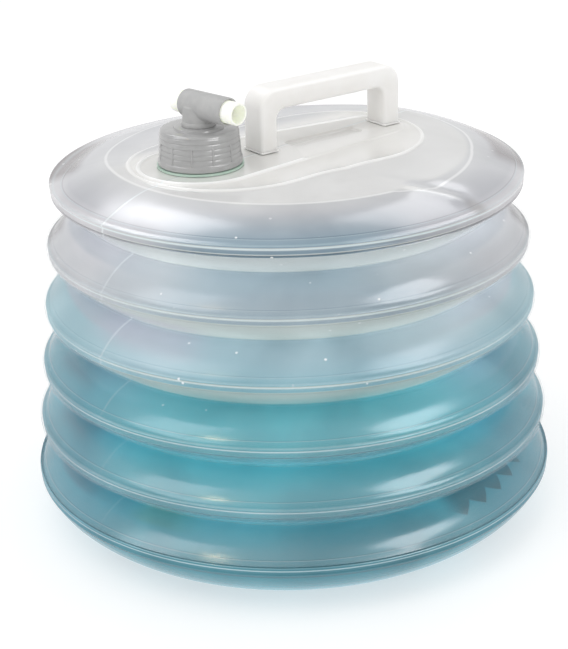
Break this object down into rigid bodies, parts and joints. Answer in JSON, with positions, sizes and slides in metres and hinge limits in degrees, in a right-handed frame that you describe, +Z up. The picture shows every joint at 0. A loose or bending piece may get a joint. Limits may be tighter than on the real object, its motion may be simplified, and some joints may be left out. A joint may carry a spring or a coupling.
{
  "type": "collapsible water carrier",
  "caption": "Round bellows-sided water carrier that folds flat, with a carrying handle and a screw cap that holds a swivelling tee tap with a turning spout.",
  "frame": {"origin": "on the floor, on the axis of the ribs", "axes": "+Z up, +X from the cap to the handle"},
  "size_m": [0.3076, 0.3076, 0.26],
  "materials": {
    "frosted_ldpe": "blow-moulded low-density polyethylene, clear to frosted, slightly wavy gloss",
    "frosted_ldpe_teal": null,
    "pale_green_polyethylene": "thick wall of the same moulding, faintly green",
    "milky_polyethylene": "injection-moulded, milky white, satin",
    "grey_polypropylene": "moulded, glossy mid grey",
    "light_grey_polypropylene": "moulded, satin light grey",
    "cream_polypropylene": "moulded, satin cream",
    "black_rubber": "moulded, matt",
    "spring_steel": "stamped strip, bright"
  },
  "bodies": {
    "base": {"base_pan": "frosted_ldpe_teal", "rib_6_rim": "frosted_ldpe_teal", "rib_6_upper_wall": "frosted_ldpe_teal"},
    "rib_5": {"rib_5_lower_wall": "frosted_ldpe_teal", "rib_5_rim": "frosted_ldpe_teal", "rib_5_upper_wall": "frosted_ldpe_teal"},
    "rib_4": {"rib_4_lower_wall": "frosted_ldpe_teal", "rib_4_rim": "frosted_ldpe_teal", "rib_4_upper_wall": "frosted_ldpe_teal"},
    "rib_3": {"rib_3_lower_wall": "frosted_ldpe", "rib_3_rim": "frosted_ldpe", "rib_3_upper_wall": "frosted_ldpe"},
    "rib_2": {"rib_2_lower_wall": "frosted_ldpe", "rib_2_rim": "frosted_ldpe", "rib_2_upper_wall": "frosted_ldpe"},
    "deck": {"rib_1_lower_wall": "frosted_ldpe", "rib_1_rim": "frosted_ldpe", "shoulder": "frosted_ldpe", "deck": "frosted_ldpe", "threaded_neck": "pale_green_polyethylene", "carrying_handle": "milky_polyethylene"},
    "cap_seal": {"cap_gasket": "black_rubber"},
    "cap": {"screw_cap": "grey_polypropylene"},
    "tap": {"tap_body": "light_grey_polypropylene", "stem_seal": "black_rubber", "stem_clip": "spring_steel"},
    "valve": {"valve_tube": "cream_polypropylene", "valve_ring_spout": "black_rubber", "valve_ring_knob": "black_rubber"}
  },
  "joints": [
    {"name": "collapse", "type": "slide", "parent": "base", "child": "deck", "axis": [0, 0, -1], "range_m": [0, 0.126], "deforming": ["rib_1_lower_wall", "rib_6_upper_wall"]},
    {"name": "rib_2_fold", "type": "slide", "parent": "base", "child": "rib_2", "axis": [0, 0, -1], "range_m": [0, 0.09935], "deforming": ["rib_2_upper_wall", "rib_2_lower_wall"]},
    {"name": "rib_3_fold", "type": "slide", "parent": "base", "child": "rib_3", "axis": [0, 0, -1], "range_m": [0, 0.07343], "deforming": ["rib_3_upper_wall", "rib_3_lower_wall"]},
    {"name": "rib_4_fold", "type": "slide", "parent": "base", "child": "rib_4", "axis": [0, 0, -1], "range_m": [0, 0.04823], "deforming": ["rib_4_upper_wall", "rib_4_lower_wall"]},
    {"name": "rib_5_fold", "type": "slide", "parent": "base", "child": "rib_5", "axis": [0, 0, -1], "range_m": [0, 0.02375], "deforming": ["rib_5_upper_wall", "rib_5_lower_wall"]},
    {"name": "cap_rise", "type": "slide", "parent": "deck", "child": "cap_seal", "axis": [0, 0, 1], "range_m": [0, 0.019]},
    {"name": "cap_turn", "type": "hinge", "parent": "cap_seal", "child": "cap", "pos_m": [-0.0583, 0, 0.2202], "axis": [0, 0, 1], "range_deg": [0, 1801]},
    {"name": "tap_swivel", "type": "hinge", "parent": "cap", "child": "tap", "pos_m": [-0.0583, 0, 0.2523], "axis": [0, 0, 1], "continuous": true},
    {"name": "valve_turn", "type": "hinge", "parent": "tap", "child": "valve", "pos_m": [-0.0583, 0, 0.2523], "axis": [-0.1736, 0.9848, 0], "range_deg": [0, 90]}
  ],
  "couplings": [
    {"joint": "rib_2_fold", "follows": "collapse", "ratio": 0.78851},
    {"joint": "rib_3_fold", "follows": "collapse", "ratio": 0.58276},
    {"joint": "rib_4_fold", "follows": "collapse", "ratio": 0.38276},
    {"joint": "rib_5_fold", "follows": "collapse", "ratio": 0.18851},
    {"joint": "cap_turn", "follows": "cap_rise", "rad_per_m": 1653.5}
  ]
}
